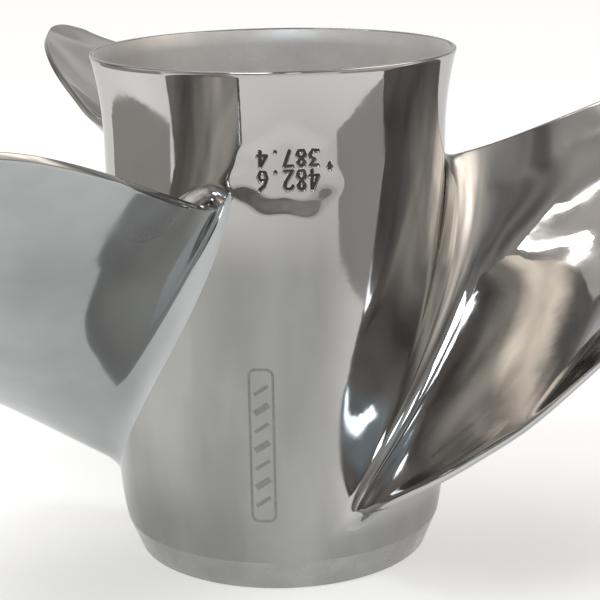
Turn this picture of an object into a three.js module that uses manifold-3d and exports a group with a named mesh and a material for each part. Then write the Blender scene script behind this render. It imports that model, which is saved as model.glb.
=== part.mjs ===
// A three-blade, right-hand, through-hub-exhaust boat propeller in cast stainless steel, with its hub kit.
// Millimetres, +Z up. The origin lies on the shaft line, in the plane of the forward rim that the
// propeller stands on; +Z points aft, towards the flare. Angles go anticlockwise seen from aft and
// start at -Y, so a point at (radius, angle) is x = radius sin(angle), y = -radius cos(angle).
import * as THREE from "three";
import { mergeVertices } from "three/addons/utils/BufferGeometryUtils.js";
import Module from "manifold-3d";

// ---- driving dimensions ----
const DIAMETER = 387.35; // 15-1/4 in
const TIP_RADIUS = DIAMETER / 2;
const HUB_LENGTH = 181.2;
const BARREL_RADIUS = 60.3; // 4-3/4 in hub
const BARREL_WALL = 3;
const BLADES = 3;
const BLADE_STEP = 360 / BLADES;
const GAP = 0.3; // clearance between pieces that touch
const BLADE_ANGLES = { blade_right: 0, blade_back: BLADE_STEP, blade_left: -BLADE_STEP };

const RIM_RADIUS = 53.3; // forward rim
const RIM_WALL = 3;
const BAND_HEIGHT = 11.7; // tapered band at the forward end
const BAND_RADIUS = 58;
const FLARE_START = 149;
const FLARE_RADIUS = 64.3;
const FLARE_WALL = 1.5;

const INNER_HUB_RADIUS = 31;
const INNER_HUB_BORE = 27;
const INNER_HUB_FRONT = 4;
const INNER_HUB_BACK = 128;
const INNER_HUB_CHAMFER = 1; // across, over three times that length
const RIB_THICKNESS = 5;
const RIB_FRONT = BAND_HEIGHT + 20;
const RIB_BACK = INNER_HUB_BACK - 6;
const SHELL_WALL = 1.5;
const SLEEVE_RADIUS = 18.6;
const SPLINES = 15;
const SPLINE_OUTER = 15.9; // grooves of the splined bore, for a 1-1/4 in shaft
const SPLINE_INNER = 14.3;
const BUSHING_FRONT = 12;
const BUSHING_BACK = 98;

const COLLAR_RADIUS = INNER_HUB_BORE - 2; // thrust washer and front of the spacer
const COLLAR_BORE = SPLINE_OUTER + 0.3;
const THRUST_WASHER_FRONT = 1;
const SLEEVE_FRONT = 8.3;
const SLEEVE_BACK = 120;
const SPACER_BACK = 134;
const SPACER_NECK_RADIUS = SLEEVE_RADIUS + 2;
const WASHER_RADIUS = 18;
const WASHER_THICKNESS = 3;
const NUT_ACROSS_FLATS = 27;
const NUT_HEX_HEIGHT = 14;
const NUT_CROWN_HEIGHT = 5.5;
const NUT_BORE = 9.5; // 3/4 in thread
const NUT_SLOT_WIDTH = 4.4;
const PIN_LEG_RADIUS = 0.8;
const PIN_EYE_X = 20;
const PIN_EYE_RADIUS = 3.2;

const BARREL_SEGMENTS = 72; // sides that stand in for a circle, by size
const BUSHING_SEGMENTS = 48;
const NUT_SEGMENTS = 36;

// ---- small helpers ----
const rad = THREE.MathUtils.degToRad;

// A smooth function through [x, y] pairs: cubic pieces whose slopes come from the neighbouring points.
function smoothThrough(pairs) {
  const slope = (i) => {
    const before = pairs[Math.max(i - 1, 0)];
    const after = pairs[Math.min(i + 1, pairs.length - 1)];
    return (after[1] - before[1]) / (after[0] - before[0]);
  };
  return (x) => {
    let i = 0;
    while (i < pairs.length - 2 && x > pairs[i + 1][0]) i += 1;
    const [x0, y0] = pairs[i];
    const [x1, y1] = pairs[i + 1];
    const width = x1 - x0;
    const t = (x - x0) / width;
    const square = t * t;
    const cube = square * t;
    return (
      y0 * (2 * cube - 3 * square + 1) +
      y1 * (3 * square - 2 * cube) +
      slope(i) * width * (cube - 2 * square + t) +
      slope(i + 1) * width * (cube - square)
    );
  };
}

function material(color, roughness, metalness) {
  return new THREE.MeshStandardMaterial({ color, roughness, metalness });
}

// A closed ring turned about Z from [radius, height] corners given anticlockwise in the (radius, z) plane.
function turned(corners, segments) {
  const profile = [...corners, corners[0]].map(([radius, z]) => new THREE.Vector2(radius, z));
  const geometry = new THREE.LatheGeometry(profile, segments);
  geometry.rotateX(Math.PI / 2);
  return geometry;
}

function tube(outer, inner, bottom, top, segments) {
  return turned([[inner, bottom], [outer, bottom], [outer, top], [inner, top]], segments);
}

function solidOf(wasm, geometry) {
  const bare = geometry.clone();
  bare.deleteAttribute("normal");
  bare.deleteAttribute("uv");
  const merged = mergeVertices(bare.index ? bare.toNonIndexed() : bare, 1e-4);
  return new wasm.Manifold(
    new wasm.Mesh({
      numProp: 3,
      vertProperties: new Float32Array(merged.attributes.position.array),
      triVerts: new Uint32Array(merged.index.array),
    }),
  );
}

function geometryOf(solid) {
  const mesh = solid.getMesh();
  const geometry = new THREE.BufferGeometry();
  geometry.setAttribute("position", new THREE.BufferAttribute(new Float32Array(mesh.vertProperties), 3));
  geometry.setIndex(new THREE.BufferAttribute(new Uint32Array(mesh.triVerts), 1));
  return geometry;
}

// ---- barrel: tapered forward band, rounded shoulder, straight wall and flared after rim ----
const BARREL_OUTLINE = [
  [RIM_RADIUS, 0],
  [BAND_RADIUS, BAND_HEIGHT],
  [BARREL_RADIUS - 0.9, BAND_HEIGHT + 9],
  [BARREL_RADIUS, BAND_HEIGHT + 24],
  [BARREL_RADIUS, FLARE_START - 20],
  [BARREL_RADIUS + 0.1, FLARE_START],
  [BARREL_RADIUS + 0.6, FLARE_START + 13],
  [BARREL_RADIUS + 1.7, FLARE_START + 22],
  [FLARE_RADIUS - 0.6, HUB_LENGTH - 3],
  [FLARE_RADIUS, HUB_LENGTH - 0.8],
  [FLARE_RADIUS - 0.3, HUB_LENGTH],
];

function barrelGeometry() {
  const bore = [
    [FLARE_RADIUS - FLARE_WALL, HUB_LENGTH],
    [BARREL_RADIUS - 0.2, FLARE_START + 18],
    [BARREL_RADIUS - BARREL_WALL, FLARE_START - 4],
    [BARREL_RADIUS - BARREL_WALL, BAND_HEIGHT + 18],
    [BAND_RADIUS - RIM_WALL, BAND_HEIGHT + 2],
    [RIM_RADIUS - RIM_WALL, 0],
  ];
  return turned([...BARREL_OUTLINE, ...bore], BARREL_SEGMENTS);
}

// The barrel's envelope, filled and grown by the gap, which the blade roots are cut to.
function barrelEnvelope() {
  const grown = BARREL_OUTLINE.map(([radius, z]) => [radius + GAP, z]);
  const above = HUB_LENGTH + 1;
  const profile = [[0, -1], [RIM_RADIUS + GAP, -1], ...grown, [FLARE_RADIUS, above], [0, above]];
  const geometry = new THREE.LatheGeometry(profile.map(([r, z]) => new THREE.Vector2(r, z)), BARREL_SEGMENTS);
  geometry.rotateX(Math.PI / 2);
  return geometry;
}

// ---- blade: sections on cylinders about the shaft line, from the leading to the trailing edge ----
const LEADING_ANGLE = smoothThrough([
  [56, 25], [80, 24.8], [94, 26.8], [104, 29.4], [112, 34], [120, 39.8], [134, 49], [154, 58.5],
  [170, 65.5], [183, 72.5], [190.5, 78], [TIP_RADIUS, 82],
]);
const LEADING_HEIGHT = smoothThrough([
  [56, 25], [80, 37.5], [94, 46.5], [104, 53.6], [112, 61.5], [120, 70.5], [134, 90], [154, 115],
  [170, 133.5], [183, 149], [190.5, 158.5], [TIP_RADIUS, 163.5],
]);
const TRAILING_ANGLE = smoothThrough([
  [56, 100.5], [64, 102], [80, 104.3], [100, 105], [120, 102.6], [140, 100.2], [160, 97],
  [172, 94.2], [182, 91.8], [190, 89], [TIP_RADIUS, 86.3],
]);
const TRAILING_HEIGHT = smoothThrough([
  [56, 137.5], [80, 141], [100, 146.2], [120, 154], [140, 162.3], [160, 169.8],
  [172, 172.8], [182, 173.4], [190, 172.6], [TIP_RADIUS, 170],
]);
const MEAN_LINE_SAG = smoothThrough([[56, 6.5], [110, 6.5], [150, 5], [TIP_RADIUS, 0.6]]);
const THICKNESS = smoothThrough([[56, 12], [80, 9.5], [110, 7.5], [150, 5], [TIP_RADIUS, 2.6]]);
const FILLET_RADIUS = 6; // along the forward face and at the leading edge
const FILLET_GROWTH = 11; // added along the after face towards the trailing edge
const FULLEST = 0.55; // fraction of the chord at which a section is thickest
const EDGE_HALF_THICKNESS = 0.7;
const TRAILING_HALF_THICKNESS = 1.5;
const CHORD_STEPS = 12;
const STATIONS = [
  56, 60.5, 61.6, 63.4, 66.5, 71, 78, 88, 98, 106, 114, 124, 137, 150, 164, 176, 184, 190, TIP_RADIUS,
];

// Half thickness at fraction s of the chord: a rounded nose and a blunt trailing edge.
function halfThickness(radius, s) {
  const full = THICKNESS(radius) / 2;
  const nose = Math.sqrt(Math.min(s / FULLEST, 1));
  const body = EDGE_HALF_THICKNESS + (full - EDGE_HALF_THICKNESS) * Math.sin((nose * Math.PI) / 2);
  const tail = Math.max(s - FULLEST, 0) / (1 - FULLEST);
  const trailing = Math.min(TRAILING_HALF_THICKNESS, full * 0.8);
  return body + (trailing - body) * tail * tail;
}

// How far a root fillet of the given size widens a section that lies `above` the barrel.
function filletFlare(above, size) {
  const left = Math.min(Math.max(1 - above / size, 0), 1);
  return size * (1 - Math.sqrt(1 - left * left));
}

function bladePoint(radius, s, side) {
  const lead = rad(LEADING_ANGLE(radius));
  const sweep = rad(TRAILING_ANGLE(radius)) - lead;
  const rise = TRAILING_HEIGHT(radius) - LEADING_HEIGHT(radius);
  const sag = MEAN_LINE_SAG(radius);
  const along = radius * sweep;
  const up = rise - sag * 4 * (1 - 2 * s);
  const length = Math.hypot(along, up);
  const fillet = FILLET_RADIUS + (side > 0 ? FILLET_GROWTH * s * s : 0);
  const flare = filletFlare(radius - BARREL_RADIUS, fillet);
  const fromMiddle = 2 * s - 1;
  const out = side * (halfThickness(radius, s) + flare * Math.sqrt(1 - fromMiddle ** 4));
  const ends = filletFlare(radius - BARREL_RADIUS, FILLET_RADIUS) * fromMiddle ** 3;
  const angle = lead + sweep * s + (-out * up + ends * along) / (length * radius);
  const z = LEADING_HEIGHT(radius) + rise * s - sag * 4 * s * (1 - s) + (out * along + ends * up) / length;
  return [radius * Math.sin(angle), -radius * Math.cos(angle), z];
}

function bladeSection(radius) {
  const points = [];
  for (let i = 0; i <= CHORD_STEPS; i += 1) {
    points.push(bladePoint(radius, (1 - Math.cos((Math.PI * i) / CHORD_STEPS)) / 2, -1));
  }
  for (let i = CHORD_STEPS; i >= 0; i -= 1) {
    points.push(bladePoint(radius, (1 - Math.cos((Math.PI * i) / CHORD_STEPS)) / 2, 1));
  }
  return points;
}

function bladeGeometry() {
  const around = 2 * (CHORD_STEPS + 1);
  const positions = STATIONS.flatMap((radius) => bladeSection(radius)).flat();
  const index = [];
  for (let ring = 0; ring < STATIONS.length - 1; ring += 1) {
    for (let k = 0; k < around; k += 1) {
      const a = ring * around + k;
      const b = ring * around + ((k + 1) % around);
      index.push(a, b, a + around, b, b + around, a + around);
    }
  }
  const last = (STATIONS.length - 1) * around;
  for (let k = 0; k < CHORD_STEPS; k += 1) {
    const far = around - 1 - k;
    index.push(k, far, k + 1, k + 1, far, far - 1);
    index.push(last + k, last + k + 1, last + far, last + k + 1, last + far - 1, last + far);
  }
  const geometry = new THREE.BufferGeometry();
  geometry.setAttribute("position", new THREE.Float32BufferAttribute(positions, 3));
  geometry.setIndex(index);
  return geometry;
}

// ---- inner hub and the ribs that hold it in the barrel ----
function innerHubGeometry() {
  return turned(
    [
      [INNER_HUB_BORE, INNER_HUB_FRONT],
      [INNER_HUB_RADIUS - INNER_HUB_CHAMFER, INNER_HUB_FRONT],
      [INNER_HUB_RADIUS, INNER_HUB_FRONT + 3 * INNER_HUB_CHAMFER],
      [INNER_HUB_RADIUS, INNER_HUB_BACK - 3 * INNER_HUB_CHAMFER],
      [INNER_HUB_RADIUS - INNER_HUB_CHAMFER, INNER_HUB_BACK],
      [INNER_HUB_BORE, INNER_HUB_BACK],
    ],
    BUSHING_SEGMENTS,
  );
}

function ribGeometry() {
  const inner = INNER_HUB_RADIUS + GAP;
  const outer = BARREL_RADIUS - BARREL_WALL - 0.4;
  const geometry = new THREE.BoxGeometry(RIB_THICKNESS, outer - inner, RIB_BACK - RIB_FRONT);
  geometry.translate(0, -(inner + outer) / 2, (RIB_FRONT + RIB_BACK) / 2);
  return geometry;
}

// ---- rubber bushing kit ----
function driveSleeveGeometry() {
  const shape = new THREE.Shape();
  shape.absarc(0, 0, SLEEVE_RADIUS, 0, 2 * Math.PI, false);
  const bore = new THREE.Path();
  for (let i = 0; i < SPLINES; i += 1) {
    const corners = [[0.1, SPLINE_INNER], [0.4, SPLINE_INNER], [0.6, SPLINE_OUTER], [0.9, SPLINE_OUTER]];
    for (const [share, radius] of corners) {
      const angle = -((i + share) / SPLINES) * 2 * Math.PI;
      const x = radius * Math.cos(angle);
      const y = radius * Math.sin(angle);
      if (i === 0 && share === 0.1) bore.moveTo(x, y);
      else bore.lineTo(x, y);
    }
  }
  bore.closePath();
  shape.holes.push(bore);
  const geometry = new THREE.ExtrudeGeometry(shape, {
    depth: SLEEVE_BACK - SLEEVE_FRONT,
    bevelEnabled: false,
    curveSegments: 24,
  });
  geometry.translate(0, 0, SLEEVE_FRONT);
  return geometry;
}

function thrustWasherGeometry() {
  const top = SLEEVE_FRONT - GAP;
  return turned(
    [
      [SLEEVE_RADIUS, THRUST_WASHER_FRONT],
      [COLLAR_RADIUS - 1.5, THRUST_WASHER_FRONT],
      [COLLAR_RADIUS, THRUST_WASHER_FRONT + 1.5],
      [COLLAR_RADIUS, top],
      [COLLAR_BORE, top],
    ],
    BUSHING_SEGMENTS,
  );
}

function rearSpacerGeometry() {
  const bottom = SLEEVE_BACK + GAP;
  return turned(
    [
      [COLLAR_BORE, bottom],
      [COLLAR_RADIUS, bottom],
      [COLLAR_RADIUS, bottom + 4],
      [SPACER_NECK_RADIUS, bottom + 7],
      [SPACER_NECK_RADIUS, SPACER_BACK],
      [COLLAR_BORE, SPACER_BACK],
    ],
    BUSHING_SEGMENTS,
  );
}

// ---- after end of the shaft: washer, castellated nut and cotter pin ----
const WASHER_FRONT = SPACER_BACK + GAP;
const NUT_FRONT = WASHER_FRONT + WASHER_THICKNESS + GAP;
const CROWN_BOTTOM = NUT_FRONT + NUT_HEX_HEIGHT;
const NUT_BACK = CROWN_BOTTOM + NUT_CROWN_HEIGHT;
const CROWN_RADIUS = NUT_ACROSS_FLATS / 2 - 0.5;
const PIN_HEIGHT = CROWN_BOTTOM + 2.6;
const CUTTER_LENGTH = 60; // longer than the nut is wide or high

function nutGeometry(wasm) {
  const hexRadius = NUT_ACROSS_FLATS / 2 / Math.cos(Math.PI / 6);
  const hex = new THREE.CylinderGeometry(hexRadius, hexRadius, NUT_HEX_HEIGHT, 6);
  hex.rotateX(Math.PI / 2);
  hex.translate(0, 0, NUT_FRONT + NUT_HEX_HEIGHT / 2);
  const crown = new THREE.CylinderGeometry(CROWN_RADIUS, CROWN_RADIUS, NUT_CROWN_HEIGHT + 1, NUT_SEGMENTS);
  crown.rotateX(Math.PI / 2);
  crown.translate(0, 0, CROWN_BOTTOM + NUT_CROWN_HEIGHT / 2 - 0.5);
  const bore = new THREE.CylinderGeometry(NUT_BORE, NUT_BORE, CUTTER_LENGTH, NUT_SEGMENTS);
  bore.rotateX(Math.PI / 2);
  bore.translate(0, 0, NUT_FRONT);
  let nut = solidOf(wasm, hex).add(solidOf(wasm, crown)).subtract(solidOf(wasm, bore));
  for (let i = 0; i < 3; i += 1) {
    const slot = new THREE.BoxGeometry(CUTTER_LENGTH, NUT_SLOT_WIDTH, 20);
    slot.translate(0, 0, CROWN_BOTTOM + 10);
    slot.rotateZ((i * Math.PI) / 3);
    nut = nut.subtract(solidOf(wasm, slot));
  }
  return geometryOf(nut);
}

// One wire: up one leg, round the eye and back down the other leg. The long leg's end is bent up.
function cotterPinGeometry() {
  const half = PIN_LEG_RADIUS + 0.15;
  const at = (x, z) => new THREE.Vector3(x, 0, PIN_HEIGHT + z);
  const points = [at(-21, 4.2), at(-18.5, 2), at(-16, half), at(-8, half), at(4, half), at(14, half)];
  for (let i = 0; i <= 6; i += 1) {
    const angle = rad(150 - 50 * i);
    points.push(at(PIN_EYE_X + PIN_EYE_RADIUS * Math.cos(angle), PIN_EYE_RADIUS * Math.sin(angle)));
  }
  points.push(at(14, -half), at(4, -half), at(-8, -half), at(-16, -half));
  const path = new THREE.CatmullRomCurve3(points, false, "centripetal");
  const section = new THREE.Shape();
  section.absarc(0, 0, PIN_LEG_RADIUS, 0, 2 * Math.PI, false);
  return new THREE.ExtrudeGeometry(section, {
    steps: 44,
    curveSegments: 4,
    extrudePath: path,
    bevelEnabled: false,
  });
}

// ---- assembly ----
const wasm = await Module();
wasm.setup();

const castSteel = material(0xb9b5ae, 0.16, 1);
const innerSteel = material(0x8f8a83, 0.42, 1);
const rubber = material(0x1c1c1d, 0.8, 0);
const brass = material(0xb08a4a, 0.35, 1);
const turnedSteel = material(0xb4b6b8, 0.3, 1);

const propeller = new THREE.Group();

function place(name, geometry, finish, turn = 0) {
  const mesh = new THREE.Mesh(geometry, finish);
  mesh.name = name;
  mesh.rotation.z = rad(turn);
  propeller.add(mesh);
}

place("outer_barrel", barrelGeometry(), castSteel);

const rootedBlade = geometryOf(solidOf(wasm, bladeGeometry()).subtract(solidOf(wasm, barrelEnvelope())));
for (const [name, turn] of Object.entries(BLADE_ANGLES)) {
  place(name, rootedBlade.clone(), castSteel, turn);
}

place("inner_hub", innerHubGeometry(), innerSteel);
for (let i = 0; i < BLADES; i += 1) {
  place(`exhaust_rib_${i + 1}`, ribGeometry(), innerSteel, BLADE_STEP * (i + 0.5));
}

const shellOuter = INNER_HUB_BORE - GAP;
const rubberOuter = shellOuter - SHELL_WALL - GAP;
const bushing = (outer, inner) => tube(outer, inner, BUSHING_FRONT, BUSHING_BACK, BUSHING_SEGMENTS);
place("bushing_shell", bushing(shellOuter, shellOuter - SHELL_WALL), turnedSteel);
place("rubber_bushing", bushing(rubberOuter, SLEEVE_RADIUS + GAP), rubber);
place("drive_sleeve", driveSleeveGeometry(), brass);
place("thrust_washer", thrustWasherGeometry(), brass);
place("rear_spacer", rearSpacerGeometry(), brass);
const washerBack = WASHER_FRONT + WASHER_THICKNESS;
const washer = tube(WASHER_RADIUS, NUT_BORE + 0.4, WASHER_FRONT, washerBack, NUT_SEGMENTS);
place("shaft_washer", washer, turnedSteel);
place("prop_nut", nutGeometry(wasm), turnedSteel);
place("cotter_pin", cotterPinGeometry(), turnedSteel);

export default propeller;
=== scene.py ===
"""Looks of a three-blade stainless boat propeller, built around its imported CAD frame. Lengths are metres.

Angles go anticlockwise about +Z, seen from above, and start at -Y: a point at (radius, angle) is
x = radius sin(angle), y = -radius cos(angle).
"""

import math

import bpy
import numpy as np
from mathutils import Matrix, Vector


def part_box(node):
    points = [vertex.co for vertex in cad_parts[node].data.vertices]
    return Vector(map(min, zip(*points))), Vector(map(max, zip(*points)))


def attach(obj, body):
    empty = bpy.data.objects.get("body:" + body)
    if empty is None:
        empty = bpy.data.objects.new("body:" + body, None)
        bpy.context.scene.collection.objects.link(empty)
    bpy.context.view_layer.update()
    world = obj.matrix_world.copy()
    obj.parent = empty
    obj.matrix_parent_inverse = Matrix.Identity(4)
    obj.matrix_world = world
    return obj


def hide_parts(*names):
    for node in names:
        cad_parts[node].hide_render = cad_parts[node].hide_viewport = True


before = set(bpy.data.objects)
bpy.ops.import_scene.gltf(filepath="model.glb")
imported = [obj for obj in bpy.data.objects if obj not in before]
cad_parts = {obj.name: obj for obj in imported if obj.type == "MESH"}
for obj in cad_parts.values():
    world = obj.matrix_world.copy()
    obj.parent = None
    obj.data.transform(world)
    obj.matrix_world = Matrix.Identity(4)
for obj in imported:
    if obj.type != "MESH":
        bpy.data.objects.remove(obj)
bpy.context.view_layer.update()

# ---- driving dimensions, from the frame where it has them ----
MM = 0.001
BARREL_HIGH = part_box("outer_barrel")[1]
HUB_LENGTH = BARREL_HIGH[2]
FLARE_RADIUS = BARREL_HIGH[0]
INNER_HUB_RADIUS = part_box("inner_hub")[1][0]
TIP_RADIUS = 193.675 * MM
BARREL_RADIUS = 60.3 * MM
BARREL_WALL = 3 * MM
RIM_RADIUS = 53.3 * MM
BAND_RADIUS = 58 * MM
BAND_HEIGHT = 11.7 * MM
SHOULDER_HEIGHT = 24 * MM
FLARE_START = 149 * MM
FLARE_POWER = 2.1
FLARE_WALL = 1.6 * MM
BLADE_TURNS = {"blade_right": 0, "blade_back": 120, "blade_left": -120}


# ---- mesh helpers ----
def smooth_through(pairs):
    """A smooth function through (x, y) pairs in mm or degrees, with slopes from the neighbouring points."""
    xs = [x for x, _ in pairs]
    ys = [y for _, y in pairs]
    last = len(pairs) - 1

    def slope(i):
        before, after = max(i - 1, 0), min(i + 1, last)
        return (ys[after] - ys[before]) / (xs[after] - xs[before])

    def value(x):
        i = 0
        while i < last - 1 and x > xs[i + 1]:
            i += 1
        width = xs[i + 1] - xs[i]
        t = (x - xs[i]) / width
        square, cube = t * t, t * t * t
        return (
            ys[i] * (2 * cube - 3 * square + 1)
            + ys[i + 1] * (3 * square - 2 * cube)
            + slope(i) * width * (cube - 2 * square + t)
            + slope(i + 1) * width * (cube - square)
        )

    return value


def smoothstep(value, start, end):
    share = min(max((value - start) / (end - start), 0), 1)
    return share * share * (3 - 2 * share)


def cylindrical(radius, angle, z):
    return (radius * math.sin(angle), -radius * math.cos(angle), z)


def circle(radius, z, segments):
    return [cylindrical(radius, 2 * math.pi * k / segments, z) for k in range(segments)]


def arc_points(centre, radius, start, sweep, steps):
    """Points on an arc from angle `start` through `sweep`, in radians, with both ends."""
    turns = [start + sweep * step / steps for step in range(steps + 1)]
    return [(centre[0] + radius * math.cos(turn), centre[1] + radius * math.sin(turn)) for turn in turns]


def flat(rings):
    return [point for ring in rings for point in ring]


def new_object(name, vertices, faces, sharp_angle=35):
    mesh = bpy.data.meshes.new(name)
    mesh.from_pydata(vertices, [], faces)
    mesh.validate()
    mesh.shade_smooth()
    mesh.set_sharp_from_angle(angle=math.radians(sharp_angle))
    obj = bpy.data.objects.new(name, mesh)
    bpy.context.scene.collection.objects.link(obj)
    return obj


def ring_faces(rings, around, closed_rings=False):
    """Quads between consecutive rings of `around` vertices; closed_rings joins the last ring to the first."""
    faces = []
    for ring in range(rings if closed_rings else rings - 1):
        base = ring * around
        upper = ((ring + 1) % rings) * around
        for k in range(around):
            following = (k + 1) % around
            faces.append((base + k, base + following, upper + following, upper + k))
    return faces


def capped(name, rings, sharp_angle=35):
    """A solid through consecutive rings of points, with a flat face on the first ring and on the last."""
    around = len(rings[0])
    last = (len(rings) - 1) * around
    faces = ring_faces(len(rings), around)
    faces.append(tuple(reversed(range(around))))
    faces.append(tuple(last + k for k in range(around)))
    return new_object(name, flat(rings), faces, sharp_angle)


def rounded(corners, radius, steps=4):
    """The closed outline with each corner rounded to `radius`, or to a third of its shorter side."""
    points = []
    count = len(corners)
    for i, corner in enumerate(corners):
        here = Vector(corner)
        before = Vector(corners[i - 1]) - here
        after = Vector(corners[(i + 1) % count]) - here
        reach = min(radius, before.length / 3, after.length / 3)
        start = here + before.normalized() * reach
        end = here + after.normalized() * reach
        for step in range(steps + 1):
            t = step / steps
            point = start * (1 - t) ** 2 + here * 2 * t * (1 - t) + end * t**2
            points.append(tuple(point))
    return points


def add_surface(obj, surface, faces=()):
    """Adds a material to the piece and gives it the faces at these places in the mesh."""
    obj.data.materials.append(surface)
    for index in faces:
        obj.data.polygons[index].material_index = len(obj.data.materials) - 1


def store_satin_and_painted_shade(obj, satin_and_painted_shade_at):
    """Stores at each vertex how dull the polish is there and how much painted shade darkens it, for the
    polished material.
    """
    satin_and_painted_shade = obj.data.attributes.new("satin_and_painted_shade", "FLOAT", "POINT")
    satin_and_painted_shade.data.foreach_set("value", [satin_and_painted_shade_at(vertex.co) for vertex in obj.data.vertices])


def finish_piece(obj, body, material_slot, surface, *nodes):
    """Ties a piece to its body and CAD nodes; material_slot is not used; a piece that has its materials gets
    None.
    """
    if surface:
        add_surface(obj, surface)
    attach(obj, body)
    if nodes:
        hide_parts(*nodes)
    return obj


# ---- barrel, with its wall and the stamped size marks ----
STAMP_ROWS = [("387.4", 152.6 * MM, 5 * MM), ("482.6", 145.4 * MM, 6.2 * MM)]
STAMP_PITCH = 4.3 * MM
STAMP_GRID_STEP = 1.35 * MM
STAMP_CENTRE = math.radians(4)
STAMP_DEPTH = 0.5 * MM
STAMP_HALF_WIDTH = 0.62 * MM
STAMP_DOT = (math.radians(17), 149.6 * MM)
STAMP_DOT_REACH = 1 * MM

# Strokes of the figures on a grid 2 wide and 4 high; each figure is one or two runs of points.
FIGURES = {
    "2": [[(0, 3.2), (0.4, 3.8), (1.5, 3.9), (2, 3.2), (1.7, 2.2), (0, 0), (2, 0)]],
    "3": [[(0.1, 4), (1.9, 4), (0.9, 2.4), (1.8, 2), (2, 1), (1.4, 0.1), (0.1, 0.2)]],
    "4": [[(1.5, 0), (1.5, 4), (0, 1.2), (2.1, 1.2)]],
    "6": [[(1.8, 3.9), (0.6, 3), (0, 1.4), (0.4, 0.2), (1.5, 0.1), (2, 1), (1.5, 2), (0.3, 1.8)]],
    "7": [[(0, 4), (2, 4), (0.7, 0)]],
    "8": [
        [(1, 2.1), (0.2, 3), (0.5, 3.9), (1.5, 3.9), (1.8, 3), (1, 2.1)],
        [(1, 2.1), (0, 1.1), (0.4, 0.1), (1.6, 0.1), (2, 1.1), (1, 2.1)],
    ],
    ".": [[(1, 0.1), (1, 0.2)]],
}


def stamp_strokes():
    """Lines ((arc, z), (arc, z)) of the stamp, upside down as the propeller stands on its forward end."""
    strokes = []
    for text, row_z, height in STAMP_ROWS:
        unit = height / 4
        for place, figure in enumerate(text):
            centre = STAMP_CENTRE * BARREL_RADIUS + (len(text) / 2 - 0.5 - place) * STAMP_PITCH
            for run in FIGURES[figure]:
                points = [(centre - (x - 1) * STAMP_GRID_STEP, row_z - (y - 2) * unit) for x, y in run]
                strokes += list(zip(points, points[1:]))
    arc, z = STAMP_DOT[0] * BARREL_RADIUS, STAMP_DOT[1]
    strokes.append(((arc, z - STAMP_DOT_REACH), (arc, z + STAMP_DOT_REACH)))
    strokes.append(((arc - STAMP_DOT_REACH / 2, z), (arc + STAMP_DOT_REACH / 2, z)))
    return strokes


def stamp_depth(arcs, heights):
    """Depth of the stamping at each point of the grid arcs x heights."""
    grid_arc, grid_z = np.meshgrid(arcs, heights, indexing="ij")
    nearest = np.full(grid_arc.shape, 1.0)
    for (a0, z0), (a1, z1) in stamp_strokes():
        along = max((a1 - a0) ** 2 + (z1 - z0) ** 2, 1e-12)
        t = ((grid_arc - a0) * (a1 - a0) + (grid_z - z0) * (z1 - z0)) / along
        t = np.clip(t, 0, 1)
        away = np.hypot(grid_arc - a0 - t * (a1 - a0), grid_z - z0 - t * (z1 - z0))
        nearest = np.minimum(nearest, away)
    soft = np.clip((STAMP_HALF_WIDTH * 1.25 - nearest) / (STAMP_HALF_WIDTH * 0.8), 0, 1)
    return STAMP_DEPTH * soft * soft * (3 - 2 * soft)


DISH_CENTRE = (math.radians(3) * BARREL_RADIUS, 147.5 * MM)
DISH_REACH = (16.5 * MM, 13 * MM)
DISH_DEPTH = 0.95 * MM


def dish_depth(arcs, heights):
    """Depth of the shallow uneven hollow that hand grinding left round the stamp."""
    across, up = np.meshgrid(
        (arcs - DISH_CENTRE[0]) / DISH_REACH[0], (heights - DISH_CENTRE[1]) / DISH_REACH[1], indexing="ij"
    )
    turn = np.arctan2(up, across)
    uneven = 1 + 0.1 * np.sin(3 * turn + 0.6) + 0.05 * np.sin(7 * turn)
    share = np.clip((1.2 - np.hypot(across, up) * uneven) / 0.6, 0, 1)
    return DISH_DEPTH * share * share * (3 - 2 * share)


def outer_radius(z):
    """Radius of the barrel's outer surface: tapered band, rounded shoulder, straight wall and flare."""
    if z <= BAND_HEIGHT:
        return RIM_RADIUS + (BAND_RADIUS - RIM_RADIUS) * z / BAND_HEIGHT
    if z <= BAND_HEIGHT + SHOULDER_HEIGHT:
        left = 1 - (z - BAND_HEIGHT) / SHOULDER_HEIGHT
        return BARREL_RADIUS - (BARREL_RADIUS - BAND_RADIUS) * left * left
    if z <= FLARE_START:
        return BARREL_RADIUS
    share = (z - FLARE_START) / (HUB_LENGTH - FLARE_START)
    return BARREL_RADIUS + (FLARE_RADIUS - BARREL_RADIUS) * share**FLARE_POWER


def spread(*stops):
    """Values from stop to stop, where each (end, step) after the first value says how finely it is cut."""
    values = [stops[0]]
    for end, step in stops[1:]:
        count = max(1, round(abs(end - values[-1]) / step))
        start = values[-1]
        values += [start + (end - start) * (i + 1) / count for i in range(count)]
    return values


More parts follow.
